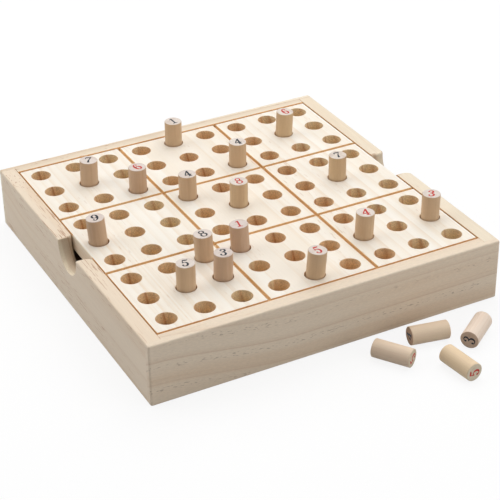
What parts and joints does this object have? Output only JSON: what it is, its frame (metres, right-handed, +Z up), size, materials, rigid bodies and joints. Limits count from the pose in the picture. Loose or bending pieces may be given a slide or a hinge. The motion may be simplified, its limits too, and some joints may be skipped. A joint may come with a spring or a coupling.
{
  "type": "sudoku board",
  "caption": "Square pine box with a lift-out board of blind peg holes in grooved blocks, finger notches in the side walls, and numbered wooden pegs for playing sudoku.",
  "frame": {"origin": "centre of the box's underside, at the table", "axes": "+X to the right along the front wall, +Y to the back, +Z up"},
  "size_m": [0.2416, 0.3104, 0.0591],
  "materials": {
    "box_wood": "sanded pine, clear matt",
    "inside_wood": "plain pine and plywood",
    "board_wood": "sanded pine, clear matt",
    "peg_wood": "plain dowel, number printed on each end"
  },
  "bodies": {
    "box": {"front_wall": "box_wood", "back_wall": "box_wood", "left_wall": "box_wood", "right_wall": "box_wood", "base_panel": "inside_wood", "front_rail": "inside_wood", "back_rail": "inside_wood", "stored_pegs_1": "peg_wood", "stored_pegs_2": "peg_wood", "stored_pegs_3": "peg_wood", "stored_pegs_4": "peg_wood", "stored_pegs_5": "peg_wood", "stored_pegs_6": "peg_wood", "stored_pegs_7": "peg_wood", "stored_pegs_8": "peg_wood", "stored_pegs_9": "peg_wood"},
    "board": {"board_floor": "board_wood", "peg_board": "board_wood"},
    "peg_7_column_2_row_8": {"peg_7_column_2_row_8": "peg_wood"},
    "peg_6_column_3_row_7": {"peg_6_column_3_row_7": "peg_wood"},
    "peg_1_column_5_row_9": {"peg_1_column_5_row_9": "peg_wood"},
    "peg_4_column_6_row_7": {"peg_4_column_6_row_7": "peg_wood"},
    "peg_4_column_4_row_6": {"peg_4_column_4_row_6": "peg_wood"},
    "peg_8_column_5_row_5": {"peg_8_column_5_row_5": "peg_wood"},
    "peg_9_column_1_row_5": {"peg_9_column_1_row_5": "peg_wood"},
    "peg_8_column_3_row_3": {"peg_8_column_3_row_3": "peg_wood"},
    "peg_1_column_4_row_3": {"peg_1_column_4_row_3": "peg_wood"},
    "peg_3_column_3_row_2": {"peg_3_column_3_row_2": "peg_wood"},
    "peg_5_column_2_row_2": {"peg_5_column_2_row_2": "peg_wood"},
    "peg_5_column_5_row_1": {"peg_5_column_5_row_1": "peg_wood"},
    "peg_6_column_8_row_8": {"peg_6_column_8_row_8": "peg_wood"},
    "peg_7_column_8_row_5": {"peg_7_column_8_row_5": "peg_wood"},
    "peg_4_column_7_row_2": {"peg_4_column_7_row_2": "peg_wood"},
    "peg_3_column_9_row_2": {"peg_3_column_9_row_2": "peg_wood"},
    "loose_peg_5_left": {"loose_peg_5_left": "peg_wood"},
    "loose_peg_4": {"loose_peg_4": "peg_wood"},
    "loose_peg_3": {"loose_peg_3": "peg_wood"},
    "loose_peg_5_front": {"loose_peg_5_front": "peg_wood"}
  },
  "joints": [
    {"name": "board_lift", "type": "slide", "parent": "box", "child": "board", "axis": [0, 0, 1], "range_m": [0, 0.06]},
    {"name": "pull_peg_7_column_2_row_8", "type": "slide", "parent": "board", "child": "peg_7_column_2_row_8", "axis": [0.0232, -0.0121, 0.9997], "range_m": [0, 0.03]},
    {"name": "pull_peg_6_column_3_row_7", "type": "slide", "parent": "board", "child": "peg_6_column_3_row_7", "axis": [0, 0, 1], "range_m": [0, 0.03]},
    {"name": "pull_peg_1_column_5_row_9", "type": "slide", "parent": "board", "child": "peg_1_column_5_row_9", "axis": [0.0077, -0.004, 1], "range_m": [0, 0.03]},
    {"name": "pull_peg_4_column_6_row_7", "type": "slide", "parent": "board", "child": "peg_4_column_6_row_7", "axis": [0.0077, -0.004, 1], "range_m": [0, 0.03]},
    {"name": "pull_peg_4_column_4_row_6", "type": "slide", "parent": "board", "child": "peg_4_column_4_row_6", "axis": [-0.0077, 0.004, 1], "range_m": [0, 0.03]},
    {"name": "pull_peg_8_column_5_row_5", "type": "slide", "parent": "board", "child": "peg_8_column_5_row_5", "axis": [0, 0, 1], "range_m": [0, 0.03]},
    {"name": "pull_peg_9_column_1_row_5", "type": "slide", "parent": "board", "child": "peg_9_column_1_row_5", "axis": [-0.0619, 0.0322, 0.9976], "range_m": [0, 0.03]},
    {"name": "pull_peg_8_column_3_row_3", "type": "slide", "parent": "board", "child": "peg_8_column_3_row_3", "axis": [-0.0387, 0.0201, 0.999], "range_m": [0, 0.03]},
    {"name": "pull_peg_1_column_4_row_3", "type": "slide", "parent": "board", "child": "peg_1_column_4_row_3", "axis": [-0.0387, 0.0201, 0.999], "range_m": [0, 0.03]},
    {"name": "pull_peg_3_column_3_row_2", "type": "slide", "parent": "board", "child": "peg_3_column_3_row_2", "axis": [0.0155, -0.0081, 0.9998], "range_m": [0, 0.03]},
    {"name": "pull_peg_5_column_2_row_2", "type": "slide", "parent": "board", "child": "peg_5_column_2_row_2", "axis": [0, 0, 1], "range_m": [0, 0.03]},
    {"name": "pull_peg_5_column_5_row_1", "type": "slide", "parent": "board", "child": "peg_5_column_5_row_1", "axis": [0.0619, -0.0322, 0.9976], "range_m": [0, 0.03]},
    {"name": "pull_peg_6_column_8_row_8", "type": "slide", "parent": "board", "child": "peg_6_column_8_row_8", "axis": [0.0387, -0.0201, 0.999], "range_m": [0, 0.03]},
    {"name": "pull_peg_7_column_8_row_5", "type": "slide", "parent": "board", "child": "peg_7_column_8_row_5", "axis": [0, 0, 1], "range_m": [0, 0.03]},
    {"name": "pull_peg_4_column_7_row_2", "type": "slide", "parent": "board", "child": "peg_4_column_7_row_2", "axis": [0.031, -0.0161, 0.9994], "range_m": [0, 0.03]},
    {"name": "pull_peg_3_column_9_row_2", "type": "slide", "parent": "board", "child": "peg_3_column_9_row_2", "axis": [0.0155, -0.0081, 0.9998], "range_m": [0, 0.03]},
    {"name": "pick_up_loose_peg_5_left", "type": "slide", "parent": "box", "child": "loose_peg_5_left", "axis": [0, 0, 1], "range_m": [0, 0.05]},
    {"name": "pick_up_loose_peg_4", "type": "slide", "parent": "box", "child": "loose_peg_4", "axis": [0, 0, 1], "range_m": [0, 0.05]},
    {"name": "pick_up_loose_peg_3", "type": "slide", "parent": "box", "child": "loose_peg_3", "axis": [0, 0, 1], "range_m": [0, 0.05]},
    {"name": "pick_up_loose_peg_5_front", "type": "slide", "parent": "box", "child": "loose_peg_5_front", "axis": [0, 0, 1], "range_m": [0, 0.05]}
  ]
}
